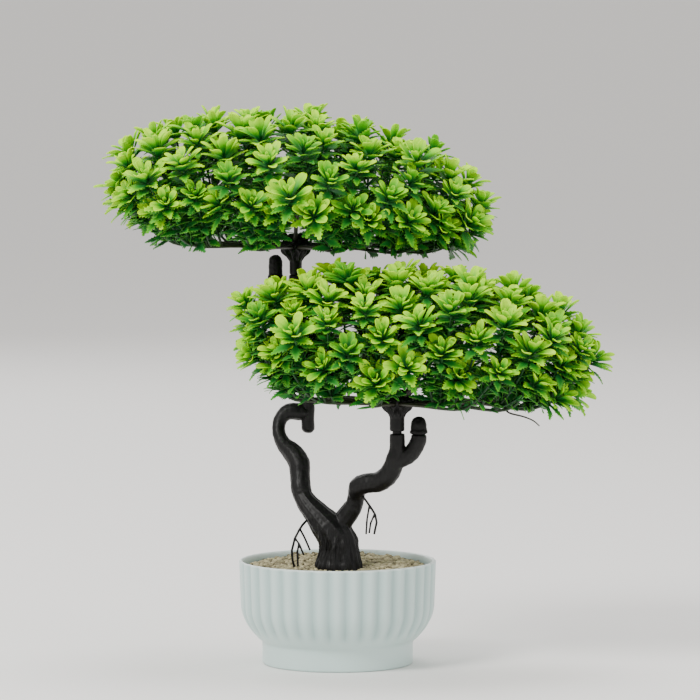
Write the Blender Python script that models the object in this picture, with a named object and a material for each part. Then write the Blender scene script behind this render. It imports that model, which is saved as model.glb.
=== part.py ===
"""Artificial tabletop tree: a fluted pot, a forked black trunk and two leafy canopies that lift and turn.

Lengths are in millimetres up to the mesh builders, which turn them into metres. +Z is up, the front is -Y,
and the origin is the centre of the pot's flat underside. The trunk and the canopies are measured from the
middle of the gravel's top, where an empty named tree carries them.
"""

import math
import random
from collections import namedtuple

import bmesh
import bpy
from mathutils import Vector
from mathutils.geometry import interpolate_bezier

MM = 0.001
GAP = 0.3  # clearance between pieces that touch
UP = Vector((0, 0, 1))

# Pot
POT_HEIGHT = 66.0
RIM_RADIUS = 62.7
WALL_RADIUS = RIM_RADIUS - 1.0  # where the upright wall meets the bowl
WALL_FOOT = 38.0
BOWL_RADIUS = RIM_RADIUS - 11.7  # where the bowl meets the foot
FOOT_RADIUS = BOWL_RADIUS - 3.0
FOOT_HEIGHT = 15.5
FOOT_BEVEL = 1.2
POT_WALL = 2.2
POT_FLOOR = 3.0
FLUTES = 36
FLUTE_DEPTH = 1.2
FLUTE_START = 18.0
FLUTE_FULL = 34.0

# Filler and gravel
RIM_ABOVE_GRAVEL = 5.5
GRAVEL_DEPTH = 8.2
GRAVEL_TOP = POT_HEIGHT - RIM_ABOVE_GRAVEL
FILLER_TOP = GRAVEL_TOP - GRAVEL_DEPTH - GAP
GRAVEL_BUMP = 1.0
GRAVEL_BACK = 3.0  # how far the gravel rises at the back wall
SPIKE_RADIUS = 6.0
SPIKE_DEPTH = 28.0  # how far the trunk's spike goes down into the filler

# Trunk joints: each limb plugs into the stump, and the curl into the riser
Joint = namedtuple("Joint", "point along radius peg length")
LEFT_JOINT = Joint(Vector((-22.8, 10.0, 47.8)), Vector((-0.3, 0.4, 1.0)).normalized(), 6.1, 3.0, 10.0)
RIGHT_JOINT = Joint(Vector((11.4, -5.0, 44.7)), Vector((0.2, -0.35, 1.0)).normalized(), 5.2, 2.5, 9.0)
CURL_END = 96.4  # height at which the curl meets the riser
CURL_PEG = 2.0
TRUNK_SIDES = 10

# Dowels, on which the canopies lift and turn
Dowel = namedtuple("Dowel", "x y top radius sunk room shown held")
UPPER_DOWEL = Dowel(-27.0, 38.0, 185.0, 2.3, 14.0, 0.5, 0.3, 11.0)
LOWER_DOWEL = Dowel(37.6, -27.0, 88.5, 3.0, 9.5, 1.5, 1.6, 10.0)
SLIDE_FIT = 0.25  # clearance round a dowel
STALK_WALL = 1.5
SOCKET_WALL = 1.6
RISER_LEAN = 7.8  # how far the riser's lower end is to the right of its top

# Stub arms' caps
CAP_SPIGOT_RADIUS = 2.4
CAP_SPIGOT_LENGTH = 6.0
Cap = namedtuple("Cap", "foot radius height lip")
LEFT_CAP = Cap(Vector((UPPER_DOWEL.x - 12.9, UPPER_DOWEL.y, UPPER_DOWEL.top - 2.5)), 4.6, 15.5, 0.5)
RIGHT_CAP = Cap(Vector((LOWER_DOWEL.x + 13.6, LOWER_DOWEL.y - 2, LOWER_DOWEL.top)), 5.2, 11.0, 0.6)

# Hubs
STALK_LENGTH = 13.5
HUB_RADIUS = 10.2
HUB_RIM = 5.5  # height of the hub's upright edge, which takes the outer sprays
HUB_CROWN = 6.5  # height of the cone above it, which takes the inner sprays
CROWN_RADIUS = 4.2
SOCKET_DEPTH = 4.5
OUTER_SPRAYS = 12
INNER_SPRAYS = 8
INNER_RISE = math.radians(42)

# Sprays
SPOKE_RADIUS = 1.5
TWIG_RADIUS = 0.9
TWIG_SIDES = 3
LEAF_LENGTH = 13.0  # from a sprig's foot to its leaf tips
SPRIG_RADIUS = 7.0
SPRIG_LENGTH = 10.5
SPRIG_SIDES = 5
SPRIG_RISE = 1.3  # how much a sprig turns up from the way its pad's surface faces
SPRIG_SCATTER = 0.32  # how far it leans from that
SPRIG_SUNK = 7.0  # how far sprigs stand behind or in front of the pad's surface
SPRIG_PROUD = 3.0
SPOKE_TAPER = (1.0, 1.0, 0.9, 0.7, 0.6, 0.6)
SPOKE_LEAD = 0.4  # how far a spoke keeps the direction of its socket, as a share of its low run
SPOKE_BEND = 0.225  # how far it has turned towards the end of its low run by then
SPOKE_SAG = 0.14  # how far its rise hangs below the straight line, as a share of the rise
SPOKE_DROOP = 0.5  # how much of the pad's tilt its low run follows
OUTER_REACH = 0.78  # how far out the low run goes, as a share of the way to the sprigs
INNER_REACH = 0.62
INNER_HEIGHT = 0.55  # how high an inner spoke's low run ends, as a share of the way up to its sprigs
TWIG_SPREAD = 0.68  # how far along its spoke a twig starts, as a share of how far out its sprig is
TWIG_FIRST = 0.25  # the nearest and the farthest that it can start
TWIG_LAST = 0.96
TWIG_KNEE = 0.55  # where a twig bends, and how far it hangs there, as shares of its length and its rise
TWIG_SAG = 0.12
INNER_SHARE = 0.60  # sprigs nearer the pad's middle than this belong to the inner sprays
GOLDEN_ANGLE = math.pi * (3 - math.sqrt(5))

# A canopy's pad: the rounded cushion that its leaf tips reach. Its middle is off the stalk's axis, its crown
# is the height above that, its girdle the height of the middle over the hub, and its skirt and front how far
# below the middle it reaches at its ends and at its front and back. Its sprigs run from the top to the lowest
# angle, which is in degrees.
Pad = namedtuple(
    "Pad", "name dowel offset half_width half_depth crown girdle skirt front tilt lowest sprigs phase seed"
)
UPPER_PAD = Pad(
    "upper", UPPER_DOWEL, (1.0, -18.0), 129.0, 76.0, 64.0, 32.5, 50.0, 30.0, -0.08, 124, 100, 0.4, 6
)
LOWER_PAD = Pad(
    "lower", LOWER_DOWEL, (12.5, 0.0), 122.0, 68.0, 50.5, 43.7, 62.0, 57.0, -0.09, 127, 100, 1.7, 8
)

BLACK = (0.012, 0.011, 0.011)
BROWN = (0.045, 0.040, 0.022)
GREEN = (0.16, 0.42, 0.02)


def clear_scene():
    for obj in list(bpy.data.objects):
        bpy.data.objects.remove(obj, do_unlink=True)


def make_material(name, colour, roughness):
    made = bpy.data.materials.new(name)
    made.use_nodes = True
    shader = made.node_tree.nodes["Principled BSDF"]
    shader.inputs["Base Color"].default_value = (*colour, 1)
    shader.inputs["Roughness"].default_value = roughness
    shader.inputs["Metallic"].default_value = 0.0
    return made


def make_object(name, shape, origin=(0, 0, 0)):
    """Turns a bmesh in millimetres into an object whose own origin is at this point."""
    bmesh.ops.translate(shape, verts=shape.verts, vec=-Vector(origin))
    bmesh.ops.scale(shape, verts=shape.verts, vec=(MM, MM, MM))
    mesh = bpy.data.meshes.new(name)
    shape.to_mesh(mesh)
    shape.free()
    made = bpy.data.objects.new(name, mesh)
    made.location = Vector(origin) * MM
    bpy.context.collection.objects.link(made)
    return made


def finish(part, colour, roughness):
    part.data.materials.append(make_material(part.name, colour, roughness))
    return part


def combine(part, operation, tool, crossing=False):
    """Adds or cuts a helper, which stays out of the render."""
    tool.hide_render = True
    tool.display_type = "WIRE"
    step = part.modifiers.new(tool.name, "BOOLEAN")
    step.operation = operation
    step.solver = "EXACT"
    step.use_self = crossing
    step.object = tool


def add_rings(shape, rings):
    """Skins a run of rings that have the same number of points, and closes both ends."""
    rows = [[shape.verts.new(point) for point in ring] for ring in rings]
    sides = len(rows[0])
    for lower, upper in zip(rows, rows[1:]):
        for k in range(sides):
            after = (k + 1) % sides
            shape.faces.new((lower[k], lower[after], upper[after], upper[k]))
    shape.faces.new(reversed(rows[0]))
    shape.faces.new(rows[-1])


def smooth(stations, steps):
    """Stations (x, y, z, radius) filled in along a Catmull-Rom curve."""
    rows = [Vector(station) for station in stations]
    rows = [2 * rows[0] - rows[1], *rows, 2 * rows[-1] - rows[-2]]
    filled = []
    for a, b, c, d in zip(rows, rows[1:], rows[2:], rows[3:]):
        for i in range(steps):
            t = i / steps
            bend = (2 * a - 5 * b + 4 * c - d) * t + (3 * b - a - 3 * c + d) * t * t
            filled.append(b + ((c - a) + bend) * t / 2)
    filled.append(rows[-2])
    return filled


def add_tube(shape, stations, sides, steps=1, groove=0.0):
    """A tapering bar through the stations. A groove makes every other edge that share nearer the middle."""
    path = smooth(stations, steps)
    last = len(path) - 1
    points = [Vector(station[:3]) for station in stations]
    ends = (points[1] - points[0]).normalized(), (points[-1] - points[-2]).normalized()
    across = Vector((1, 0.01, 0.02))
    rings = []
    for i, station in enumerate(path):
        if i in (0, last):
            ahead = ends[i > 0]
        else:
            ahead = (path[i + 1].xyz - path[i - 1].xyz).normalized()
        if abs(ahead.dot(across)) > 0.95:
            across = Vector((0, 0.3, -1))
        across = (across - ahead * ahead.dot(across)).normalized()
        beside = ahead.cross(across)
        ring = []
        for k in range(sides):
            turn = math.tau * k / sides
            reach = station.w * (1 - groove * (k % 2))
            ring.append(station.xyz + reach * (math.cos(turn) * across + math.sin(turn) * beside))
        rings.append(ring)
    add_rings(shape, rings)


def tube(name, stations, sides=TRUNK_SIDES, steps=1, groove=0.0, origin=(0, 0, 0)):
    shape = bmesh.new()
    add_tube(shape, stations, sides, steps, groove)
    return make_object(name, shape, origin)


def circle(radius, height, sides):
    turns = (math.tau * k / sides for k in range(sides))
    return [Vector((radius * math.cos(a), radius * math.sin(a), height)) for a in turns]


def add_lathe(shape, profile, sides, centre=(0, 0, 0)):
    """Turns a profile of (radius, height), listed up the outside, whose two ends close on the axis."""
    rings = []
    for radius, height in profile:
        rings.append([Vector(centre) + point for point in circle(radius, height, sides)])
    add_rings(shape, rings)


def lathe(name, profile, sides, centre=(0, 0, 0), origin=(0, 0, 0)):
    shape = bmesh.new()
    add_lathe(shape, profile, sides, centre)
    return make_object(name, shape, origin)


def pin(name, foot, tip, radius, sides=12):
    """A straight round bar between two points, used as a peg or as the cutter of its bore."""
    return tube(name, [(*foot, radius), (*tip, radius)], sides)


def peg_end(joint):
    return joint.point - joint.along * joint.length


def joint_stations(joint, way):
    """The last stations of a piece that ends square on a joint: way is 1 above the joint and -1 below it."""
    near = joint.point + joint.along * way * GAP / 2
    far = joint.point + joint.along * way * 3
    ends = [(*near, joint.radius), (*far, joint.radius)]
    return ends if way > 0 else ends[::-1]


def make_pot():
    """Fluted outside, plain foot and a plain inside."""
    curve = [Vector((BOWL_RADIUS, FOOT_HEIGHT + 0.6, 0)), Vector((WALL_RADIUS - 4.4, 24, 0))]
    curve += [Vector((WALL_RADIUS - 0.4, 29, 0)), Vector((WALL_RADIUS, WALL_FOOT, 0))]
    bowl = [(point.x, point.y) for point in interpolate_bezier(*curve, 5)]
    outside = [(FOOT_RADIUS - FOOT_BEVEL, 0), (FOOT_RADIUS, FOOT_BEVEL), (FOOT_RADIUS, FOOT_HEIGHT)]
    outside += [*bowl, (RIM_RADIUS, POT_HEIGHT - 0.6), (RIM_RADIUS - 0.4, POT_HEIGHT)]
    sides = 2 * FLUTES
    rings = []
    for radius, height in outside:
        full = min(max((height - FLUTE_START) / (FLUTE_FULL - FLUTE_START), 0), 1)
        depths = (0, FLUTE_DEPTH * full)
        ring = []
        for k in range(sides):
            turn = math.tau * k / sides
            reach = radius - depths[k % 2]
            ring.append(Vector((reach * math.cos(turn), reach * math.sin(turn), height)))
        rings.append(ring)
    rings += [circle(radius, height, sides) for radius, height in reversed(pot_inside(0))]
    shape = bmesh.new()
    add_rings(shape, rings)
    return finish(make_object("pot", shape), (0.54, 0.62, 0.60), 0.35)


def pot_inside(clearance):
    """The pot's inner profile from the floor up, or that of what fits in it with this clearance."""
    inset = POT_WALL + clearance
    floor = POT_FLOOR + clearance
    return [
        (FOOT_RADIUS - inset, floor),
        (FOOT_RADIUS - inset, FOOT_HEIGHT + 1.5 + clearance),
        (WALL_RADIUS - FLUTE_DEPTH - inset - 3.0, 27 + clearance),
        (WALL_RADIUS - FLUTE_DEPTH - inset, WALL_FOOT + clearance),
        (RIM_RADIUS - FLUTE_DEPTH - inset + 0.4, POT_HEIGHT),
    ]


def inner_radius(height, clearance):
    """The radius at this height of what fits in the pot's upright wall."""
    (low_radius, low), (high_radius, high) = pot_inside(clearance)[-2:]
    return low_radius + (high_radius - low_radius) * (height - low) / (high - low)


def spike_bore(name, top):
    foot = FILLER_TOP - SPIKE_DEPTH - GAP
    return pin(name, (0, 0, foot), (0, 0, top), SPIKE_RADIUS + GAP)


def make_filler():
    profile = pot_inside(GAP)[:-1] + [(inner_radius(FILLER_TOP, GAP), FILLER_TOP)]
    part = lathe("filler_block", profile, FLUTES)
    combine(part, "DIFFERENCE", spike_bore("filler_bore", FILLER_TOP + 5))
    return finish(part, (0.50, 0.48, 0.44), 0.9)


def make_gravel():
    """A crust with an uneven top."""
    rough = random.Random(3)
    sides = FLUTES
    foot = FILLER_TOP + GAP
    rings = []
    spread = [(1.0, foot), (1.0, GRAVEL_TOP - 1)] + [(share, GRAVEL_TOP) for share in (0.93, 0.72, 0.45)]
    for share, height in spread:
        radius = share * inner_radius(min(height, GRAVEL_TOP), GAP)
        bump = GRAVEL_BUMP if share < 1 else 0
        ring = []
        for k in range(sides):
            turn = math.tau * k / sides
            lift = bump * rough.uniform(-0.7, 0.7)
            if height > foot:
                lift += GRAVEL_BACK * share**3 * (1 + math.sin(turn)) / 2
            ring.append(Vector((radius * math.cos(turn), radius * math.sin(turn), height + lift)))
        rings.append(ring)
    shape = bmesh.new()
    add_rings(shape, rings)
    bmesh.ops.triangulate(shape, faces=[face for face in shape.faces if len(face.verts) > 4])
    part = make_object("gravel_bed", shape)
    combine(part, "DIFFERENCE", spike_bore("gravel_bore", GRAVEL_TOP + 5))
    return finish(part, (0.40, 0.37, 0.26), 0.9)


def make_trunk_base():
    """The stump: a spike, a flared foot, and two arms with a bore for each limb's peg."""
    foot = GRAVEL_BUMP + GAP
    trunk = [(0.8, 0, foot, 15.6), (1.0, 0, foot + 4, 14.4), (0.9, 0, foot + 12, 12.6)]
    trunk += [(-1.0, 0, 20, 11.9), (-6.9, 1, 27.4, 10.2), (-12.8, 3, 33.9, 8.1), (-18.6, 6.3, 40.3, 6.8)]
    part = tube("trunk_base", trunk + joint_stations(LEFT_JOINT, -1), 20, 2, 0.10)
    spike_foot = FILLER_TOP - SPIKE_DEPTH - GRAVEL_TOP
    arm = [(-1, 0, 19.5, 7.0), (1.5, 0, 27.5, 6.5), (6.0, -1.2, 34, 6.3), (9.4, -3.0, 39.1, 6.0)]
    combine(part, "UNION", tube("right_arm", arm + joint_stations(RIGHT_JOINT, -1), TRUNK_SIDES, 2))
    combine(part, "UNION", pin("spike", (0, 0, spike_foot), (0, 0, foot + 2), SPIKE_RADIUS))
    for name, joint in (("left", LEFT_JOINT), ("right", RIGHT_JOINT)):
        foot = peg_end(joint) - joint.along * GAP
        tip = joint.point + joint.along * 2
        combine(part, "DIFFERENCE", pin(name + "_peg_bore", foot, tip, joint.peg + GAP))
    return finish(part, BLACK, 0.45)


def riser_stations(extra):
    """The riser, or what clears it, bottom to top."""
    x, y, top = UPPER_DOWEL.x, UPPER_DOWEL.y, UPPER_DOWEL.top
    width = UPPER_DOWEL.radius + SLIDE_FIT + SOCKET_WALL
    low = x + RISER_LEAN
    rows = [(low, y, 83.6, 1.8), (low, y, 85.1, 3.7), (low, y, 88.8, width)]
    rows += [(low - 0.2, y, 109.5, 4.1), (x + 5.9, y, 126.5, 4.3), (x + 3.3, y, 142.5, 4.6)]
    rows += [(x + 1.8, y, 155.5, 4.9), (x + 0.8, y, 164.5, 4.6), (x, y, top - 15, width), (x, y, top, width)]
    return [(*row[:3], row[3] + extra) for row in rows]


def curl_end():
    return Vector((UPPER_DOWEL.x + RISER_LEAN, UPPER_DOWEL.y, CURL_END))


def make_left_limb():
    """Rises from the stump and curls over to the riser, which its peg enters."""
    y = UPPER_DOWEL.y
    end = curl_end()
    rows = joint_stations(LEFT_JOINT, 1)
    rows += [(-24.2, 15.5, 59, 6.2), (-24.6, 18.5, 65.5, 6.8), (-28.4, 22.5, 71.3, 6.4)]
    rows += [(-33.6, 27, 75.7, 5.2), (-37.2, 31.5, 81.0, 4.1), (-38.1, 35, 86.4, 3.9)]
    rows += [(-37.0, y - 1, 91.6, 4.2), (-33.8, y, 95.8, 4.9), (-29.4, y, 97.2, 5.4)]
    rows += [(end.x - 4, y, end.z + 0.2, 5.3), (*end, 5.1)]
    part = tube("left_limb", rows, TRUNK_SIDES, 2)
    combine(part, "DIFFERENCE", tube("riser_space", riser_stations(GAP)))
    combine(part, "UNION", pin("curl_peg", end + Vector((-8, 0, 0)), end, CURL_PEG))
    joint = LEFT_JOINT
    combine(part, "UNION", pin("left_peg", peg_end(joint), joint.point + joint.along, joint.peg))
    return finish(part, BLACK, 0.45)


def stub_stations(rows, cap):
    """A stub arm that ends upright, just under its cap."""
    x, y, top = cap.foot
    return rows + [(x, y, top - 4, cap.radius - 0.3), (x, y, top - GAP, cap.radius - 0.3)]


def add_spigot(part, name, cap):
    foot = cap.foot - UP * 3
    tip = cap.foot + UP * (CAP_SPIGOT_LENGTH - GAP)
    combine(part, "UNION", pin(name, foot, tip, CAP_SPIGOT_RADIUS))


def add_socket(part, name, dowel):
    """A bore for a dowel, open at the top, with room under the dowel to push it home."""
    foot = (dowel.x, dowel.y, dowel.top - dowel.sunk - dowel.room)
    tip = (dowel.x, dowel.y, dowel.top + 5)
    combine(part, "DIFFERENCE", pin(name, foot, tip, dowel.radius + SLIDE_FIT, 16))


def make_riser():
    """The upright under the upper canopy, with the left stub arm."""
    y = UPPER_DOWEL.y
    part = tube("riser", riser_stations(0), TRUNK_SIDES, 2)
    rows = [(-25.6, y, 154.5, 4.0), (-30.6, y, 159.1, 4.4), (-36.0, y, 164.9, 4.5), (-39.0, y, 172, 4.3)]
    combine(part, "UNION", tube("left_stub", stub_stations(rows, LEFT_CAP), TRUNK_SIDES, 2))
    add_spigot(part, "left_spigot", LEFT_CAP)
    add_socket(part, "riser_socket", UPPER_DOWEL)
    end = curl_end()
    foot = end - Vector((9, 0, 0))
    combine(part, "DIFFERENCE", pin("curl_bore", foot, end + Vector((GAP, 0, 0)), CURL_PEG + GAP))
    return finish(part, BLACK, 0.45)


def make_right_limb():
    """Runs out and up from the stump to the lower canopy's socket, with the right stub arm."""
    x, y, top = LOWER_DOWEL.x, LOWER_DOWEL.y, LOWER_DOWEL.top
    width = LOWER_DOWEL.radius + SLIDE_FIT + SOCKET_WALL
    rows = joint_stations(RIGHT_JOINT, 1)
    rows += [(12.8, -10.5, 52.8, 6.0), (18.2, -14, 55.7, 6.3), (25.2, -18, 57.0, 6.3), (31.2, -22, 60.8, 6.3)]
    rows += [(35.0, -25, 67.2, 6.0), (x - 1, y, 73.5, 5.4), (x, y, 78.5, width), (x, y, top, width)]
    part = tube("right_limb", rows, TRUNK_SIDES, 2)
    rows = [(36.0, y, 70, 4.5), (41.5, y - 0.4, 72.9, 5.0), (46.8, y - 1.2, 76.5, 5.1)]
    combine(part, "UNION", tube("right_stub", stub_stations(rows, RIGHT_CAP), TRUNK_SIDES, 2))
    add_spigot(part, "right_spigot", RIGHT_CAP)
    add_socket(part, "right_socket", LOWER_DOWEL)
    joint = RIGHT_JOINT
    combine(part, "UNION", pin("right_peg", peg_end(joint), joint.point + joint.along, joint.peg))
    return finish(part, BLACK, 0.45)


def make_cap(name, cap):
    """A rough dome with a lip, bored for the stub arm's spigot."""
    dome = cap.radius
    profile = [(dome - 0.2, 0), (dome + cap.lip, 0.8), (dome + cap.lip, 2.0), (dome - 0.1, 3.0)]
    profile += [(dome, cap.height * 0.45), (dome - 0.2, cap.height - dome * 0.7)]
    profile += [(dome * 0.75, cap.height - dome * 0.25), (dome * 0.3, cap.height)]
    part = lathe(name, profile, TRUNK_SIDES, cap.foot)
    foot = cap.foot - UP * 2
    tip = cap.foot + UP * CAP_SPIGOT_LENGTH
    combine(part, "DIFFERENCE", pin(name + "_bore", foot, tip, CAP_SPIGOT_RADIUS + GAP))
    return finish(part, BLACK, 0.8)


def make_roots(name, strands, radius):
    """A thin forked moulding: the first strand is its stem, and the others start inside an earlier one."""
    part = tube(name, [(*point, radius) for point in strands[0]], 6)
    shape = bmesh.new()
    for strand in strands[1:]:
        add_tube(shape, [(*point, radius * 0.85) for point in strand], 6)
    combine(part, "UNION", make_object(name + "_forks", shape), crossing=True)
    return finish(part, BLACK, 0.5)


def make_left_root():
    stem = [(-19.7, -1.0, 30.8), (-22.2, -5.5, 28.5), (-24.5, -9, 25.3), (-27.1, -11, 20.4)]
    strands = [stem + [(-29, -12, 12.9), (-28.6, -12, 6.5), (-27.4, -11, 2.1)]]
    strands += [[(-23.9, -8, 26.1), (-20.7, -7.6, 20), (-17.5, -8, 12.5)]]
    strands += [[(-27.0, -11, 20.6), (-24.3, -12, 16.8), (-21.3, -13, 9.8)]]
    strands += [[(-24.5, -12, 17.1), (-25.5, -13, 12.3), (-25.1, -13.4, 2.8)]]
    make_roots("left_root", strands, 0.85)


def make_right_root():
    stem = [(16.15, -11.25, 47.1), (18, -12.2, 44.7), (20.6, -13, 41.1), (23.8, -15, 36.2)]
    strands = [stem + [(24.8, -16, 31.2), (23.2, -16, 23.5)]]
    strands += [[(20.2, -13, 41.7), (18.7, -14, 32.9), (18.1, -14, 23.3)]]
    strands += [[(23.6, -14.8, 36.7), (21.0, -15, 30.5), (20.0, -16, 24.2)]]
    make_roots("right_root", strands, 0.8)


def make_dowel(name, dowel):
    """The round pin between a socket and a stalk, whose origin is on the canopy's axis."""
    foot = dowel.top - dowel.sunk
    tip = dowel.top + dowel.shown + dowel.held
    profile = [(dowel.radius - 0.5, foot), (dowel.radius, foot + 0.8), (dowel.radius, tip - 0.8)]
    profile += [(dowel.radius - 0.5, tip)]
    centre = (dowel.x, dowel.y, 0)
    part = lathe(name, profile, 16, centre, (dowel.x, dowel.y, dowel.top))
    return finish(part, BLACK, 0.4)


def hub_foot(pad):
    """The height at which the stalk flares into the hub."""
    return pad.dowel.top + pad.dowel.shown + STALK_LENGTH


def outer_socket(pad, k):
    """The foot, mouth and direction of an outer spray's socket in the hub's edge."""
    turn = math.tau * (k + 0.5) / OUTER_SPRAYS
    along = Vector((math.cos(turn), math.sin(turn), 0.05)).normalized()
    mouth = Vector((pad.dowel.x, pad.dowel.y, hub_foot(pad) + 1 + HUB_RIM * 0.55)) + HUB_RADIUS * along
    return mouth - along * SOCKET_DEPTH, mouth, along


def inner_socket(pad, k):
    """The same in the cone above it."""
    turn = math.tau * k / INNER_SPRAYS
    flat = math.cos(INNER_RISE)
    along = Vector((math.cos(turn) * flat, math.sin(turn) * flat, math.sin(INNER_RISE)))
    radius = (HUB_RADIUS + CROWN_RADIUS) / 2
    height = hub_foot(pad) + 1 + HUB_RIM + HUB_CROWN / 2
    mouth = Vector((pad.dowel.x + radius * math.cos(turn), pad.dowel.y + radius * math.sin(turn), height))
    return mouth - along * SOCKET_DEPTH, mouth, along


def make_hub(pad):
    """A stalk with a bore for the dowel, and a flared head with a socket for each spray."""
    dowel = pad.dowel
    width = dowel.radius + SLIDE_FIT + STALK_WALL
    foot = dowel.top + dowel.shown
    head = hub_foot(pad)
    profile = [(width - 0.3, foot), (width, foot + 1), (width, head - 5), (HUB_RADIUS * 0.62, head - 2)]
    profile += [(HUB_RADIUS * 0.88, head), (HUB_RADIUS, head + 1.6), (HUB_RADIUS, head + 1 + HUB_RIM)]
    profile += [(CROWN_RADIUS, head + 1 + HUB_RIM + HUB_CROWN)]
    origin = (dowel.x, dowel.y, foot)
    part = lathe(pad.name + "_hub", profile, 20, (dowel.x, dowel.y, 0), origin)
    tip = (dowel.x, dowel.y, foot + dowel.held + GAP)
    bore = pin(part.name + "_bore", (dowel.x, dowel.y, foot - 4), tip, dowel.radius + SLIDE_FIT, 16)
    combine(part, "DIFFERENCE", bore)
    shape = bmesh.new()
    sockets = [outer_socket(pad, k) for k in range(OUTER_SPRAYS)]
    sockets += [inner_socket(pad, k) for k in range(INNER_SPRAYS)]
    for foot, mouth, along in sockets:
        radius = SPOKE_RADIUS + GAP
        add_tube(shape, [(*(foot - along * GAP), radius), (*(mouth + along * 4), radius)], 6)
    combine(part, "DIFFERENCE", make_object(part.name + "_sockets", shape))
    return finish(part, BROWN, 0.5)


def polar_angles(pad):
    """One angle from the pad's top for each sprig, so spaced that each has the same area of the surface."""
    fine = 200
    end = math.radians(pad.lowest)
    wide = (pad.half_width + pad.half_depth) / 2 - LEAF_LENGTH
    high = pad.crown - LEAF_LENGTH
    areas = [0.0]
    for i in range(fine):
        a = end * (i + 0.5) / fine
        areas.append(areas[-1] + math.sin(a) * math.hypot(wide * math.cos(a), high * math.sin(a)))
    found = []
    step = 0
    for n in range(pad.sprigs):
        wanted = areas[-1] * (n + 0.5) / pad.sprigs
        while areas[step + 1] < wanted:
            step += 1
        found.append(end * (step + 0.5) / fine)
    return found


Sprig = namedtuple("Sprig", "foot along turn reach")


def sprig_sites(pad):
    """Each sprig's foot, the way it faces, its turn round the pad and its reach, which is 1 at the edge."""
    rough = random.Random(pad.seed)
    centre = Vector((pad.dowel.x + pad.offset[0], pad.dowel.y + pad.offset[1], hub_foot(pad) + pad.girdle))
    wide = pad.half_width - LEAF_LENGTH
    deep = pad.half_depth - LEAF_LENGTH
    sites = []
    for n, angle in enumerate(polar_angles(pad)):
        turn = (n * GOLDEN_ANGLE + pad.phase) % math.tau
        reach = math.sin(angle)
        skirt = pad.skirt * math.cos(turn) ** 2 + pad.front * math.sin(turn) ** 2
        high = (pad.crown if angle < math.pi / 2 else skirt) - LEAF_LENGTH
        out = Vector((wide * reach * math.cos(turn), deep * reach * math.sin(turn), high * math.cos(angle)))
        facing = Vector((out.x / wide**2, out.y / deep**2, out.z / high**2)).normalized()
        out += facing * rough.uniform(-SPRIG_SUNK, SPRIG_PROUD)
        out.z += pad.tilt * out.x
        lean = [rough.uniform(-SPRIG_SCATTER, SPRIG_SCATTER) for _ in range(2)]
        along = (facing + UP * SPRIG_RISE + Vector((*lean, 0))).normalized()
        sites.append(Sprig(centre + out, along, turn, reach if angle < math.pi / 2 else 2 - reach))
    return sites


def add_sprig(shape, sprig):
    """A leaf sprig's solid: a cup that opens towards its leaf tips."""
    spots = ((0, 0.35), (SPRIG_LENGTH, 1.0))
    rows = [(*(sprig.foot + sprig.along * way), SPRIG_RADIUS * share) for way, share in spots]
    add_tube(shape, rows, SPRIG_SIDES)


def spoke_points(socket, ends, tip):
    """A spoke's points: straight out of its socket, out under its sprigs, then up to its farthest one."""
    foot, mouth, along = socket
    start = mouth + along * 2
    ahead = start + along * (ends - start).length * SPOKE_LEAD
    bend = ahead.lerp(ends, SPOKE_BEND)
    rise = ends.lerp(tip, 0.5) - UP * (tip.z - ends.z) * SPOKE_SAG
    return [foot, start, bend, ends, rise, tip]


def point_on(points, share):
    """The point this share of the way along a run of points."""
    place = share * (len(points) - 1)
    i = min(int(place), len(points) - 2)
    return points[i].lerp(points[i + 1], place - i)


def make_spray(name, pad, socket, sprigs, inner):
    """One spoke, which ends in its farthest leaf sprig, and a twig for each other sprig."""
    middle = sum((sprig.foot for sprig in sprigs), Vector()) / len(sprigs)
    hub = Vector((pad.dowel.x, pad.dowel.y, hub_foot(pad) + 1 + HUB_RIM / 2))
    far = max(sprigs, key=lambda sprig: (sprig.foot - hub).xy.length)
    ends = hub + ((middle + far.foot) / 2 - hub) * (INNER_REACH if inner else OUTER_REACH)
    if inner:
        ends.z = hub.z + (middle.z - hub.z) * INNER_HEIGHT
    else:
        ends.z = hub.z + SPOKE_RADIUS + pad.tilt * (ends.x - hub.x) * SPOKE_DROOP
    spoke = spoke_points(socket, ends, far.foot + far.along)
    rows = [(*point, SPOKE_RADIUS * width) for point, width in zip(spoke, SPOKE_TAPER)]
    part = tube(name, rows, 6, 1, 0.0, (pad.dowel.x, pad.dowel.y, hub_foot(pad)))
    shape = bmesh.new()
    add_sprig(shape, far)
    full = (ends - hub).xy.length
    for sprig in sprigs:
        if sprig is far:
            continue
        share = (sprig.foot - hub).xy.length / full * TWIG_SPREAD
        start = point_on(spoke[1:4], min(max(share, TWIG_FIRST), TWIG_LAST))
        knee = start.lerp(sprig.foot, TWIG_KNEE) - UP * (sprig.foot.z - start.z) * TWIG_SAG
        twig = [start, knee, sprig.foot + sprig.along]
        add_tube(shape, [(*point, TWIG_RADIUS) for point in twig], TWIG_SIDES)
        add_sprig(shape, sprig)
    combine(part, "UNION", make_object(name + "_twigs", shape), crossing=True)
    return finish(part, GREEN, 0.45)


def make_canopy(pad):
    """A hub, and its sprays in two tiers: each takes the sprigs in its own sector of the pad."""
    make_hub(pad)
    sites = sprig_sites(pad)
    outer = [sprig for sprig in sites if sprig.reach >= INNER_SHARE]
    inner = [sprig for sprig in sites if sprig.reach < INNER_SHARE]
    for k in range(OUTER_SPRAYS):
        mine = [sprig for sprig in outer if int(sprig.turn / math.tau * OUTER_SPRAYS) == k]
        make_spray(f"{pad.name}_outer_spray_{k + 1:02d}", pad, outer_socket(pad, k), mine, False)
    for k in range(INNER_SPRAYS):
        mine = [sprig for sprig in inner if round(sprig.turn / math.tau * INNER_SPRAYS) % INNER_SPRAYS == k]
        make_spray(f"{pad.name}_inner_spray_{k + 1}", pad, inner_socket(pad, k), mine, True)


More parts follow.
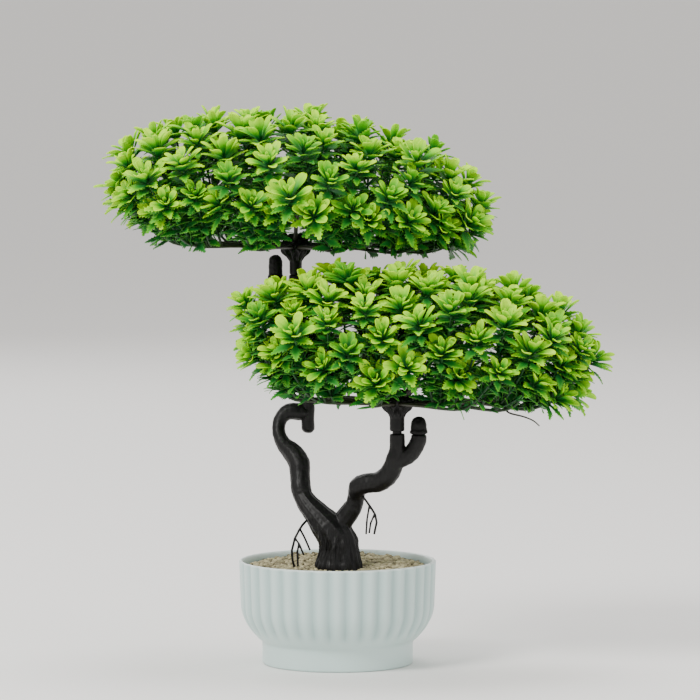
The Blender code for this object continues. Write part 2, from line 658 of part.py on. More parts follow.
def main():
    clear_scene()
    make_pot()
    make_filler()
    make_gravel()
    potted = list(bpy.data.objects)
    make_trunk_base()
    make_left_limb()
    make_riser()
    make_right_limb()
    make_cap("left_stub_cap", LEFT_CAP)
    make_cap("right_stub_cap", RIGHT_CAP)
    make_left_root()
    make_right_root()
    make_dowel("upper_dowel", UPPER_DOWEL)
    make_dowel("lower_dowel", LOWER_DOWEL)
    make_canopy(UPPER_PAD)
    make_canopy(LOWER_PAD)
    tree = bpy.data.objects.new("tree", None)
    tree.location.z = GRAVEL_TOP * MM
    for obj in bpy.data.objects:
        if obj not in potted and obj is not tree:
            obj.parent = tree
    bpy.context.collection.objects.link(tree)


main()
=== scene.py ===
"""Looks of the artificial tabletop tree: fluted pot, gravel, black bark and two canopies of plastic leaves.

Lengths are in millimetres until mesh_of or sculpted makes a mesh in metres. The floor, the lights and the
camera are in metres. The twigs and leaves stand at the same sites as the CAD sprays that they replace.
"""

import math
import random
from collections import namedtuple

import bmesh
import bpy
import numpy as np
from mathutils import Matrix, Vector, noise


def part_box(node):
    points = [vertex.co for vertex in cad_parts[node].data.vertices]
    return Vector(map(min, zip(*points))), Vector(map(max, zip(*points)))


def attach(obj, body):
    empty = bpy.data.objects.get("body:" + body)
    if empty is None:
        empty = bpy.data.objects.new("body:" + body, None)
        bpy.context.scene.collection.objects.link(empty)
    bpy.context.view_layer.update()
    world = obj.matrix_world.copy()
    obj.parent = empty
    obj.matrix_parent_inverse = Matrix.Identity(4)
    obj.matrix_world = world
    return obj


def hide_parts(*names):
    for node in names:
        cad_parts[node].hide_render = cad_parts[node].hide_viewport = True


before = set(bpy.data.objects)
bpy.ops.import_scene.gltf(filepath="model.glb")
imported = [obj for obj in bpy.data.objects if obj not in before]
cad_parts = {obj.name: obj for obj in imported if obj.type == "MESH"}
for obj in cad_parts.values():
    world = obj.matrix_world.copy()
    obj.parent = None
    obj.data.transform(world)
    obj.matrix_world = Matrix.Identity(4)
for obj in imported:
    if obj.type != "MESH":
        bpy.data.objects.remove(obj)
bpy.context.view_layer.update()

MM = 0.001
UP = Vector((0, 0, 1))
ROOT = "tree"

# ---------------------------------------------------------------- meshes and pieces


def mesh_of(name, points, faces):
    mesh = bpy.data.meshes.new(name)
    mesh.from_pydata((np.asarray(points, float) * MM).tolist(), [], [list(map(int, face)) for face in faces])
    mesh.validate()
    return mesh


def add_piece(name, mesh, material, body, replaces=()):
    """Puts a finished mesh in the scene, smooth-shaded, as a piece that rides on a body."""
    mesh.polygons.foreach_set("use_smooth", [True] * len(mesh.polygons))
    piece = bpy.data.objects.new(name, mesh)
    bpy.context.scene.collection.objects.link(piece)
    mesh.materials.clear()
    mesh.materials.append(material)
    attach(piece, body)
    if replaces:
        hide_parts(*replaces)
    return piece


def set_values(mesh, name, values):
    attribute = mesh.attributes.new(name, "FLOAT", "POINT")
    attribute.data.foreach_set("value", np.asarray(values, np.float32))


def ring_faces(rings, sides, closed=True):
    """Quads of a skin over rings of the same number of points, with a fan over each end."""
    faces = []
    for i in range(rings - 1):
        for k in range(sides):
            after = (k + 1) % sides
            faces.append((i * sides + k, i * sides + after, (i + 1) * sides + after, (i + 1) * sides + k))
    if closed:
        faces.append(tuple(reversed(range(sides))))
        faces.append(tuple(range((rings - 1) * sides, rings * sides)))
    return faces


def curve_through(points, steps):
    """Points filled in along a Catmull-Rom curve."""
    rows = [Vector(point) for point in points]
    rows = [2 * rows[0] - rows[1], *rows, 2 * rows[-1] - rows[-2]]
    filled = []
    for a, b, c, d in zip(rows, rows[1:], rows[2:], rows[3:]):
        for i in range(steps):
            t = i / steps
            bend = (2 * a - 5 * b + 4 * c - d) * t + (3 * b - a - 3 * c + d) * t * t
            filled.append(b + ((c - a) + bend) * t / 2)
    filled.append(rows[-2])
    return filled


def tube(path, radii, sides):
    """(points, faces) of a round bar along a path, with a radius for each point."""
    across = Vector((1, 0.01, 0.02))
    points = []
    last = len(path) - 1
    for i, (place, radius) in enumerate(zip(path, radii)):
        ahead = (path[min(i + 1, last)] - path[max(i - 1, 0)]).normalized()
        if abs(ahead.dot(across)) > 0.95:
            across = Vector((0, 0.3, -1))
        across = (across - ahead * ahead.dot(across)).normalized()
        beside = ahead.cross(across)
        for k in range(sides):
            turn = math.tau * k / sides
            points.append(place + radius * (math.cos(turn) * across + math.sin(turn) * beside))
    return points, ring_faces(len(path), sides)


def smoothstep(values):
    values = np.clip(values, 0, 1)
    return values * values * (3 - 2 * values)


class Gather:
    """Collects several meshes' points, faces and point values into one."""

    def __init__(self, *names):
        self.points, self.faces = [], []
        self.values = {name: [] for name in names}

    def add(self, points, faces, **values):
        first = len(self.points)
        self.points.extend(points)
        self.faces.extend(tuple(first + k for k in face) for face in faces)
        for name, value in values.items():
            if np.ndim(value) == 0:
                value = [value] * len(points)
            self.values[name].extend(value)

    def mesh(self, name):
        made = mesh_of(name, [tuple(point) for point in self.points], self.faces)
        for key, values in self.values.items():
            set_values(made, key, values)
        return made


# ---------------------------------------------------------------- materials


def new_material(name, roughness, specular=0.5, coat=0.0, coat_roughness=0.2):
    material = bpy.data.materials.new(name)
    material.use_nodes = True
    shader = material.node_tree.nodes["Principled BSDF"]
    shader.inputs["Roughness"].default_value = roughness
    shader.inputs["Specular IOR Level"].default_value = specular
    shader.inputs["Coat Weight"].default_value = coat
    shader.inputs["Coat Roughness"].default_value = coat_roughness
    return material, material.node_tree, shader


def node(tree, kind, **settings):
    made = tree.nodes.new(kind)
    for name, value in settings.items():
        setattr(made, name, value)
    return made


def noise_node(tree, scale, detail=3.0, roughness=0.5):
    """Noise over the object's own coordinates, which are in metres."""
    made = node(tree, "ShaderNodeTexNoise")
    made.inputs["Scale"].default_value = scale
    made.inputs["Detail"].default_value = detail
    made.inputs["Roughness"].default_value = roughness
    coords = node(tree, "ShaderNodeTexCoord")
    tree.links.new(coords.outputs["Object"], made.inputs["Vector"])
    return made


def ramp(tree, source, stops):
    made = node(tree, "ShaderNodeValToRGB")
    steps = made.color_ramp.elements
    while len(steps) < len(stops):
        steps.new(0.5)
    for step, (place, colour) in zip(steps, stops):
        step.position = place
        step.color = (*colour, 1)
    tree.links.new(source, made.inputs["Fac"])
    return made.outputs["Color"]


def mix(tree, amount, first, second, blend="MIX"):
    """Colour mix. Each of amount, first and second is a socket or a constant."""
    made = node(tree, "ShaderNodeMix", data_type="RGBA", blend_type=blend)
    for socket, value in ((made.inputs[0], amount), (made.inputs[6], first), (made.inputs[7], second)):
        if isinstance(value, bpy.types.NodeSocket):
            tree.links.new(value, socket)
        else:
            socket.default_value = value if isinstance(value, float) else (*value, 1)
    return made.outputs[2]


def arithmetic(tree, operation, first, second=0.0, third=0.0, clamp=False):
    made = node(tree, "ShaderNodeMath", operation=operation, use_clamp=clamp)
    for socket, value in zip(made.inputs, (first, second, third)):
        if isinstance(value, bpy.types.NodeSocket):
            tree.links.new(value, socket)
        else:
            socket.default_value = value
    return made.outputs[0]


def value_of(tree, name):
    return node(tree, "ShaderNodeAttribute", attribute_name=name).outputs["Fac"]


def add_bump(tree, shader, height, distance, strength=1.0):
    made = node(tree, "ShaderNodeBump")
    made.inputs["Distance"].default_value = distance * MM
    made.inputs["Strength"].default_value = strength
    tree.links.new(height, made.inputs["Height"])
    tree.links.new(made.outputs["Normal"], shader.inputs["Normal"])


def leaf_material():
    """Dark at each leaf's foot, yellow-green at its tip, with a painted highlight along its edges and a
    darker midrib.
    """
    material, tree, shader = new_material("leaf_plastic", 0.46, 0.18)
    mottle = noise_node(tree, 260.0, 2.0)
    tone = arithmetic(tree, "MULTIPLY_ADD", mottle.outputs["Fac"], 0.16, value_of(tree, "tone"))
    tone = arithmetic(tree, "SUBTRACT", tone, 0.08, clamp=True)
    stops = [(0.0, (0.012, 0.105, 0.030)), (0.22, (0.022, 0.230, 0.032)), (0.46, (0.090, 0.450, 0.010))]
    stops += [(0.70, (0.300, 0.720, 0.004)), (1.0, (0.560, 0.960, 0.004))]
    colour = ramp(tree, tone, stops)
    # painted highlight: the leaf's edges are lightened, more so towards its bright tip
    edge = arithmetic(tree, "MULTIPLY", value_of(tree, "edge"), tone)
    edge = arithmetic(tree, "MULTIPLY", edge, 0.45, clamp=True)
    colour = mix(tree, edge, colour, (0.58, 0.94, 0.01))
    rib = arithmetic(tree, "MULTIPLY", value_of(tree, "rib"), 0.34)
    colour = mix(tree, rib, colour, (0.006, 0.110, 0.004))
    warm = arithmetic(tree, "MULTIPLY", value_of(tree, "shade"), 0.30)
    colour = mix(tree, warm, colour, (0.60, 0.66, 0.02), "SOFT_LIGHT")
    tree.links.new(colour, shader.inputs["Base Color"])
    grain = noise_node(tree, 900.0, 2.0)
    add_bump(tree, shader, grain.outputs["Fac"], 0.05, 0.5)
    return material


def twig_material():
    material, tree, shader = new_material("twig_plastic", 0.46, 0.4)
    streak = noise_node(tree, 300.0, 3.0)
    place = arithmetic(tree, "MULTIPLY_ADD", streak.outputs["Fac"], 0.35, value_of(tree, "out"))
    place = arithmetic(tree, "SUBTRACT", place, 0.17, clamp=True)
    stops = [(0.0, (0.012, 0.010, 0.008)), (0.35, (0.022, 0.024, 0.010)), (0.75, (0.008, 0.060, 0.014))]
    stops += [(1.0, (0.012, 0.110, 0.018))]
    tree.links.new(ramp(tree, place, stops), shader.inputs["Base Color"])
    add_bump(tree, shader, noise_node(tree, 700.0, 3.0).outputs["Fac"], 0.08)
    return material


def bark_material(name, roughness, light, grain):
    """Black plastic with a faint brown-grey mottle and the finest grain. The bark's relief is in the mesh."""
    material, tree, shader = new_material(name, roughness, 0.24)
    mottle = noise_node(tree, 90.0, 5.0, 0.6)
    dark = (0.0020, 0.0020, 0.0021)
    pale = (0.0085 * light, 0.0082 * light, 0.0078 * light)
    stops = [(0.30, dark), (0.58, (0.0040 * light, 0.0039 * light, 0.0039 * light)), (0.80, pale)]
    tree.links.new(ramp(tree, mottle.outputs["Fac"], stops), shader.inputs["Base Color"])
    fine = noise_node(tree, 420.0, 5.0, 0.65)
    spread = arithmetic(tree, "MULTIPLY_ADD", fine.outputs["Fac"], 0.22, roughness - 0.11)
    tree.links.new(spread, shader.inputs["Roughness"])
    add_bump(tree, shader, fine.outputs["Fac"], grain)
    return material


def pot_material():
    """A pale blue-green satin glaze, darker and a little greener in the valleys of the flutes as painted
    shade, and paler on the rim as a painted highlight.
    """
    material, tree, shader = new_material("pot_glaze", 0.34, 0.5, 0.25, 0.28)
    cloud = noise_node(tree, 18.0, 3.0)
    stops = [(0.25, (0.525, 0.680, 0.655)), (0.75, (0.580, 0.725, 0.700))]
    colour = ramp(tree, cloud.outputs["Fac"], stops)
    # painted shade: the valleys of the flutes are darkened towards a deeper blue-green
    valley = arithmetic(tree, "MULTIPLY", value_of(tree, "valley"), 0.85)
    colour = mix(tree, valley, colour, (0.350, 0.500, 0.485))
    # painted highlight: the rim's lip is lightened towards a pale blue-green
    colour = mix(tree, arithmetic(tree, "MULTIPLY", value_of(tree, "rim"), 0.6), colour, (0.80, 0.87, 0.85))
    speck = noise_node(tree, 1400.0, 2.0)
    speck = arithmetic(tree, "GREATER_THAN", speck.outputs["Fac"], 0.71)
    colour = mix(tree, arithmetic(tree, "MULTIPLY", speck, 0.10), colour, (0.33, 0.40, 0.39))
    tree.links.new(colour, shader.inputs["Base Color"])
    add_bump(tree, shader, noise_node(tree, 130.0, 3.0).outputs["Fac"], 0.10, 0.6)
    return material


def gravel_material(name, low, high):
    material, tree, shader = new_material(name, 0.82, 0.3)
    blotch = noise_node(tree, 420.0, 4.0, 0.6)
    tint = arithmetic(tree, "MULTIPLY_ADD", blotch.outputs["Fac"], 0.45, value_of(tree, "shade"))
    tint = arithmetic(tree, "SUBTRACT", tint, 0.22, clamp=True)
    middle = tuple((a + b) / 2 for a, b in zip(low, high))
    tree.links.new(ramp(tree, tint, [(0.0, low), (0.5, middle), (1.0, high)]), shader.inputs["Base Color"])
    add_bump(tree, shader, noise_node(tree, 1500.0, 4.0, 0.6).outputs["Fac"], 0.12)
    return material


def filler_material():
    material, tree, shader = new_material("filler_plaster", 0.9, 0.3)
    cloud = noise_node(tree, 160.0, 5.0, 0.6)
    stops = [(0.3, (0.40, 0.38, 0.34)), (0.7, (0.56, 0.54, 0.49))]
    tree.links.new(ramp(tree, cloud.outputs["Fac"], stops), shader.inputs["Base Color"])
    add_bump(tree, shader, cloud.outputs["Fac"], 0.4)
    return material


LEAF = leaf_material()
TWIG = twig_material()
BARK = bark_material("bark_plastic", 0.46, 1.0, 0.16)
CAP_BARK = bark_material("cap_plastic", 0.62, 0.9, 0.30)
PIN = bark_material("pin_plastic", 0.40, 1.0, 0.04)
GLAZE = pot_material()
STONES = gravel_material("gravel_stone", (0.10, 0.085, 0.045), (0.60, 0.54, 0.33))
# painted shade: the bed that shows between the stones is coloured about a third as light as the stones
BED_SHADE = gravel_material("gravel_crust", (0.05, 0.042, 0.025), (0.20, 0.17, 0.10))

# ---------------------------------------------------------------- pot and gravel

POT_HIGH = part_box("pot")[1] / MM
RIM_RADIUS = POT_HIGH.x
POT_HEIGHT = POT_HIGH.z
WALL_RADIUS = RIM_RADIUS - 1.0
WALL_FOOT = 37.0
BOWL_RADIUS = RIM_RADIUS - 11.7
FOOT_RADIUS = BOWL_RADIUS - 3.0
FOOT_HEIGHT = 15.5
POT_WALL = 2.2
FLUTES = 36
FLUTE_DEPTH = 1.75
FLUTE_POINTS = 14  # points round the pot on each flute
FLUTE_START = 16.5  # the height where the flutes begin, and how far above it they reach their full depth
FLUTE_FADE = 9.0


def pot_profile():
    """Rows of (radius, height, flute share, share of the painted rim highlight), up the pot's outside and
    then down its inside.
    """
    rows = [(0.01, 1.2, 0, 0), (FOOT_RADIUS - 7.0, 1.2, 0, 0), (FOOT_RADIUS - 5.5, 0.6, 0, 0)]
    rows += [(FOOT_RADIUS - 4.8, 0, 0, 0), (FOOT_RADIUS - 1.6, 0, 0, 0), (FOOT_RADIUS - 0.7, 0.25, 0, 0)]
    rows += [(FOOT_RADIUS - 0.15, 0.8, 0, 0), (FOOT_RADIUS, 1.6, 0, 0)]
    rows += [(FOOT_RADIUS, 1.6 + k * 2.2, 0, 0) for k in range(1, 6)]
    rows += [(FOOT_RADIUS + 0.1, FOOT_HEIGHT - 1.6, 0, 0), (FOOT_RADIUS + 0.7, FOOT_HEIGHT - 0.5, 0, 0)]
    rows += [(FOOT_RADIUS + 1.9, FOOT_HEIGHT + 0.4, 0, 0)]
    bowl = [(BOWL_RADIUS, 16.8), (WALL_RADIUS - 4.2, 23.4)]
    bowl += [(WALL_RADIUS - 0.5, 29.5), (WALL_RADIUS, WALL_FOOT)]
    a, b, c, d = (Vector(corner) for corner in bowl)
    steps = 16
    for k in range(steps + 1):
        t = k / steps
        place = a * (1 - t) ** 3 + b * 3 * t * (1 - t) ** 2 + c * 3 * t * t * (1 - t) + d * t**3
        rows.append((place.x, place.y, smoothstep((place.y - FLUTE_START) / FLUTE_FADE), 0))
    top = POT_HEIGHT - 1.6
    upright = 14
    for k in range(1, upright + 1):
        t = k / upright
        rows.append((WALL_RADIUS + (RIM_RADIUS - WALL_RADIUS) * t, WALL_FOOT + (top - WALL_FOOT) * t, 1, 0))
    rows += [(RIM_RADIUS, POT_HEIGHT - 0.9, 0.8, 0.5), (RIM_RADIUS - 0.15, POT_HEIGHT - 0.35, 0.65, 1)]
    rows += [(RIM_RADIUS - 0.6, POT_HEIGHT, 0.5, 1), (RIM_RADIUS - 1.5, POT_HEIGHT - 0.05, 0.2, 1)]
    rows += [(RIM_RADIUS - 2.1, POT_HEIGHT - 0.5, 0.05, 1), (RIM_RADIUS - 2.5, POT_HEIGHT - 1.4, 0, 0.6)]
    inner = RIM_RADIUS - POT_WALL - 0.5
    rows += [(inner, POT_HEIGHT - 4, 0, 0), (inner - 0.5, 50, 0, 0), (inner - 1.2, 36, 0, 0)]
    rows += [(inner - 5, 26, 0, 0), (FOOT_RADIUS - POT_WALL, 16.5, 0, 0), (FOOT_RADIUS - POT_WALL, 3.0, 0, 0)]
    rows += [(0.01, 3.0, 0, 0)]
    return rows


def make_pot():
    profile = pot_profile()
    sides = FLUTES * FLUTE_POINTS
    turns = np.linspace(0, math.tau, sides, endpoint=False)
    round_top = np.abs(np.cos(turns * FLUTES / 2)) ** 0.8
    wave = 0.5 + 0.5 * np.cos(turns * FLUTES)
    # how deep each point lies in a flute's valley; it shapes the flutes and weights the painted shade in
    # their valleys
    valley = 1 - (0.45 * round_top + 0.55 * wave)
    points, shares, rim_highlights = [], [], []
    for radius, height, share, rim in profile:
        reach = radius - FLUTE_DEPTH * share * valley
        points.append(np.stack([reach * np.cos(turns), reach * np.sin(turns), np.full(sides, height)], 1))
        shares.append(valley * share)
        rim_highlights.append(np.full(sides, float(rim)))
    faces = ring_faces(len(profile), sides)
    mesh = mesh_of("pot_body", np.concatenate(points), faces)
    set_values(mesh, "valley", np.concatenate(shares))
    set_values(mesh, "rim", np.concatenate(rim_highlights))
    return add_piece("pot_body", mesh, GLAZE, ROOT, ["pot"])


GRAVEL_LOW, GRAVEL_HIGH = (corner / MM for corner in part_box("gravel_bed"))
GRAVEL_RADIUS = GRAVEL_HIGH.x
GRAVEL_FRONT = POT_HEIGHT - 7.0  # the bed's height at the front, and how much it rises towards the back
GRAVEL_RISE = 4.6
STONE_PITCH = 2.75
STUMP_RADIUS = 11  # no stones lie nearer to the middle than this


def gravel_height(x, y):
    back = (y + GRAVEL_RADIUS) / (2 * GRAVEL_RADIUS)
    level = GRAVEL_FRONT + GRAVEL_RISE * back * back
    return level + 0.9 * noise.noise(Vector((x, y, 3.0)) / 16) + 0.5 * noise.noise(Vector((x, y, 9)) / 6)


def make_shaded_bed():
    """The bed under the stones, coloured dark as painted shade between them."""
    sides, rings = 120, 40
    points = []
    for i in range(rings, 0, -1):
        radius = GRAVEL_RADIUS * i / rings
        for k in range(sides):
            turn = math.tau * k / sides
            x, y = radius * math.cos(turn), radius * math.sin(turn)
            points.append((x, y, gravel_height(x, y) + 0.4 * noise.noise(Vector((x, y, 0)) / 1.6)))
    turns = [math.tau * k / sides for k in range(sides)]
    base = [(GRAVEL_RADIUS * math.cos(turn), GRAVEL_RADIUS * math.sin(turn), GRAVEL_LOW.z) for turn in turns]
    mesh = mesh_of("gravel_crust", base + points, ring_faces(rings + 1, sides))
    set_values(mesh, "shade", [0.4] * len(mesh.vertices))
    return add_piece("gravel_crust", mesh, BED_SHADE, ROOT, ["gravel_bed"])


def pebble(rough, shape, size):
    """(points, faces) of one worn stone, centred on its own middle."""
    vertices, faces = shape
    stretch = Vector((rough.uniform(0.8, 1.25), rough.uniform(0.7, 1.1), rough.uniform(0.5, 0.8)))
    shift = Vector((rough.uniform(0, 90), rough.uniform(0, 90), rough.uniform(0, 90)))
    spin, tip = rough.uniform(0, math.tau), rough.uniform(-0.5, 0.5)
    points = []
    for vertex in vertices:
        lump = 1 + 0.34 * noise.noise(vertex * 1.3 + shift)
        place = Vector((vertex.x * stretch.x, vertex.y * stretch.y, vertex.z * stretch.z)) * lump * size
        place = Vector((place.x, place.y * math.cos(tip) - place.z * math.sin(tip),
                        place.y * math.sin(tip) + place.z * math.cos(tip)))
        points.append(Vector((place.x * math.cos(spin) - place.y * math.sin(spin),
                              place.x * math.sin(spin) + place.y * math.cos(spin), place.z)))
    return points, faces


def icosphere(level):
    shape = bmesh.new()
    bmesh.ops.create_icosphere(shape, subdivisions=level, radius=1.0)
    shape.verts.index_update()
    found = [v.co.copy() for v in shape.verts], [tuple(v.index for v in face.verts) for face in shape.faces]
    shape.free()
    return found


def make_stones():
    rough = random.Random(21)
    shape = icosphere(2)
    rows = int(GRAVEL_RADIUS / (STONE_PITCH * 0.866)) + 1
    gathered = Gather("shade")
    for j in range(-rows, rows + 1):
        for i in range(-rows, rows + 1):
            x = (i + 0.5 * (j % 2)) * STONE_PITCH + rough.uniform(-0.9, 0.9)
            y = j * STONE_PITCH * 0.866 + rough.uniform(-0.9, 0.9)
            size = rough.uniform(0.9, 1.9) * (1.25 if rough.random() < 0.12 else 1)
            lift = rough.uniform(-0.25, 0.7)
            shade = min(max(rough.gauss(0.5, 0.2), 0.05), 1.0)
            away = math.hypot(x, y)
            if away + size * 1.2 > GRAVEL_RADIUS or away < STUMP_RADIUS:
                continue
            points, faces = pebble(rough, shape, size)
            middle = Vector((x, y, gravel_height(x, y) + lift))
            gathered.add([point + middle for point in points], faces, shade=shade)
    mesh = gathered.mesh("gravel_stones")
    return add_piece("gravel_stones", mesh, STONES, ROOT)


# ---------------------------------------------------------------- trunk, caps, roots, hubs and pins


TRUNK_FOOT = POT_HEIGHT - 5.5  # the height that the trunk's joints are measured from
Joint = namedtuple("Joint", "point along radius")
LEFT_JOINT = Joint(Vector((-22.8, 10.0, TRUNK_FOOT + 47.8)), Vector((-0.3, 0.4, 1.0)).normalized(), 6.1)
RIGHT_JOINT = Joint(Vector((11.4, -5.0, TRUNK_FOOT + 44.7)), Vector((0.2, -0.35, 1.0)).normalized(), 5.2)
JOINT_REACH = 1.8  # how far from a joint the softened edge is brought back
FLARE_TOP = GRAVEL_FRONT + 5  # the stump's flared foot is below this height and outside this radius
FLARE_CORE = 8
FLARE_SINK = 3.0


def square_ends(places, joints):
    """Brings the softened edge at each joint back out to the joint's radius, so that the two sides meet."""
    for joint in joints:
        along = np.array(joint.along)
        offsets = places - np.array(joint.point)
        off = offsets @ along
        radial = offsets - off[:, None] * along
        reach = np.linalg.norm(radial, axis=1)
        share = smoothstep((JOINT_REACH - np.abs(off)) / 0.9) * (reach > 0.72 * joint.radius)
        moved = share * (joint.radius + 0.25 - reach) / np.maximum(reach, 1.0)
        places += radial * moved[:, None]


def sink_flare(places):
    """Moves the stump's flared foot down into the gravel."""
    low = (places[:, 2] < FLARE_TOP) & (np.hypot(places[:, 0], places[:, 1]) > FLARE_CORE)
    places[low, 2] -= FLARE_SINK * smoothstep((FLARE_TOP - places[low, 2]) / 3)


def sculpted(name, source, voxel, smoothing, relief, material, body, joints=(), flared=False):
    """A CAD node's mesh at an even pitch, softened, and moved along its normals by relief(place, normal)."""
    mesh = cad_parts[source].data.copy()
    mesh.name = name
    work = bpy.data.objects.new("work", mesh)
    bpy.context.scene.collection.objects.link(work)
    step = work.modifiers.new("remesh", "REMESH")
    step.mode = "VOXEL"
    step.voxel_size = voxel * MM
    step = work.modifiers.new("soften", "SMOOTH")
    step.factor = 0.5
    step.iterations = smoothing
    graph = bpy.context.evaluated_depsgraph_get()
    made = bpy.data.meshes.new_from_object(work.evaluated_get(graph))
    bpy.data.objects.remove(work)
    made.name = name
    count = len(made.vertices)
    places = np.empty(count * 3)
    normals = np.empty(count * 3)
    made.vertices.foreach_get("co", places)
    made.vertices.foreach_get("normal", normals)
    places, normals = places.reshape(-1, 3) / MM, normals.reshape(-1, 3)
    moves = [relief(Vector(place), Vector(normal)) for place, normal in zip(places, normals)]
    places += normals * np.array(moves)[:, None]
    square_ends(places, joints)
    if flared:
        sink_flare(places)
    made.vertices.foreach_set("co", (places * MM).ravel())
    made.update()
    return add_piece(name, made, material, body, [source])


def bark_relief(place, normal):
    """Low lumps and a fine bark, outside the surface that the softening drew in."""
    lump = 0.35 + 0.40 * noise.noise(place / 9)
    return lump + 0.18 * noise.noise(Vector((place.x, place.y, place.z * 0.45)) / 1.7)


def stump_relief(place, normal):
    """Upright grooves round the stump's foot, fading into plain bark above."""
    turn = math.atan2(place.y, place.x + 1.5)
    wander = 0.7 * noise.noise(place / 11)
    groove = math.sin(19 * (turn + 0.35 * wander) + 0.7 * math.sin(place.z * 0.16))
    groove += 0.5 * math.sin(43 * turn + 2.2 * wander)
    fade = min(max((POT_HEIGHT + 24 - place.z) / 12, 0), 1) * (1 - abs(normal.z)) ** 2
    return bark_relief(place, normal) + 0.62 * groove * fade


def cap_relief(place, normal):
    return 0.28 * noise.noise(place / 2.2) + 0.16 * noise.noise(place / 0.9)


def plain_relief(place, normal):
    return 0.08 * noise.noise(place / 3)


def hub_relief(place, normal, foot, middle):
    """Ribs under the hub's head, one below each spoke."""
    turn = math.atan2(place.y - middle.y, place.x - middle.x)
    fade = min(max((place.z - foot + 5.0) / 4.0, 0), 1) * min(max((foot + 4.5 - place.z) / 2.5, 0), 1)
    between = 0.5 + 0.5 * math.cos(OUTER_SPRAYS * turn)
    return plain_relief(place, normal) - 2.0 * between * fade * (1 - max(normal.z, 0))


def make_trunk():
    both = [LEFT_JOINT, RIGHT_JOINT]
    sculpted("stump", "trunk_base", 0.5, 3, stump_relief, BARK, ROOT, both, True)
    sculpted("left_limb_bark", "left_limb", 0.6, 9, bark_relief, BARK, ROOT, both[:1])
    sculpted("riser_bark", "riser", 0.55, 8, bark_relief, BARK, ROOT)
    sculpted("right_limb_bark", "right_limb", 0.6, 9, bark_relief, BARK, ROOT, both[1:])
    sculpted("left_cap_bark", "left_stub_cap", 0.45, 4, cap_relief, CAP_BARK, ROOT)
    sculpted("right_cap_bark", "right_stub_cap", 0.45, 4, cap_relief, CAP_BARK, ROOT)
    sculpted("left_air_root", "left_root", 0.28, 3, plain_relief, BARK, ROOT)
    sculpted("right_air_root", "right_root", 0.28, 3, plain_relief, BARK, ROOT)


def make_pin(name, source, body):
    """A moulded pin with a bevel at each end."""
    low, high = (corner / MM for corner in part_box(source))
    radius = (high.x - low.x) / 2
    middle = (low + high) / 2
    bevel = 0.8
    rows = [(0.01, low.z), (radius - bevel * 0.9, low.z), (radius - 0.3, low.z + 0.25)]
    rows += [(radius, low.z + bevel)]
    rows += [(radius, low.z + bevel + (high.z - low.z - 2 * bevel) * k / 8) for k in range(1, 9)]
    rows += [(radius - 0.3, high.z - 0.25), (radius - bevel * 0.9, high.z), (0.01, high.z)]
    sides = 48
    points = []
    for reach, height in rows:
        for k in range(sides):
            turn = math.tau * k / sides
            points.append((middle.x + reach * math.cos(turn), middle.y + reach * math.sin(turn), height))
    mesh = mesh_of(name, points, ring_faces(len(rows), sides))
    return add_piece(name, mesh, PIN, body, [source])


# ---------------------------------------------------------------- canopies

HUB_RADIUS = 10.2
HUB_RIM = 5.5
HUB_CROWN = 6.5
CROWN_RADIUS = 4.2
SOCKET_DEPTH = 4.5
OUTER_SPRAYS = 12
INNER_SPRAYS = 8
INNER_RISE = math.radians(42)
SPOKE_RADIUS = 1.5
LEAF_LENGTH = 13.0
SPRIG_RISE = 1.3
SPRIG_SCATTER = 0.32
SPRIG_SUNK = 7.0
SPRIG_PROUD = 3.0
OUTER_REACH = 0.78
INNER_REACH = 0.62
TWIG_SPREAD = 0.68
INNER_SHARE = 0.60
SPOKE_STEPS = 6  # points on a spoke from one of its stations to the next
STEM_STEPS = 8
GOLDEN_ANGLE = math.pi * (3 - math.sqrt(5))

Pad = namedtuple(
    "Pad", "name offset half_width half_depth crown girdle skirt front tilt lowest sprigs phase seed foot"
)
Sprig = namedtuple("Sprig", "foot along turn reach")


def hub_place(name):
    low, high = (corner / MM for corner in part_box(name + "_hub"))
    return Vector(((low.x + high.x) / 2, (low.y + high.y) / 2, high.z - 1 - HUB_RIM - HUB_CROWN))


UPPER = Pad(
    "upper", (1.0, -18.0), 129.0, 76.0, 64.0, 32.5, 50.0, 30.0, -0.08, 124, 100, 0.4, 6, hub_place("upper")
)
LOWER = Pad(
    "lower", (12.5, 0.0), 122.0, 68.0, 50.5, 43.7, 62.0, 57.0, -0.09, 127, 100, 1.7, 8, hub_place("lower")
)


def polar_angles(pad):
    """One angle from the pad's top for each sprig, so that each has the same area of the pad's surface."""
    fine = 200
    end = math.radians(pad.lowest)
    wide = (pad.half_width + pad.half_depth) / 2 - LEAF_LENGTH
    high = pad.crown - LEAF_LENGTH
    areas = [0.0]
    for i in range(fine):
        a = end * (i + 0.5) / fine
        areas.append(areas[-1] + math.sin(a) * math.hypot(wide * math.cos(a), high * math.sin(a)))
    found = []
    step = 0
    for n in range(pad.sprigs):
        wanted = areas[-1] * (n + 0.5) / pad.sprigs
        while areas[step + 1] < wanted:
            step += 1
        found.append(end * (step + 0.5) / fine)
    return found


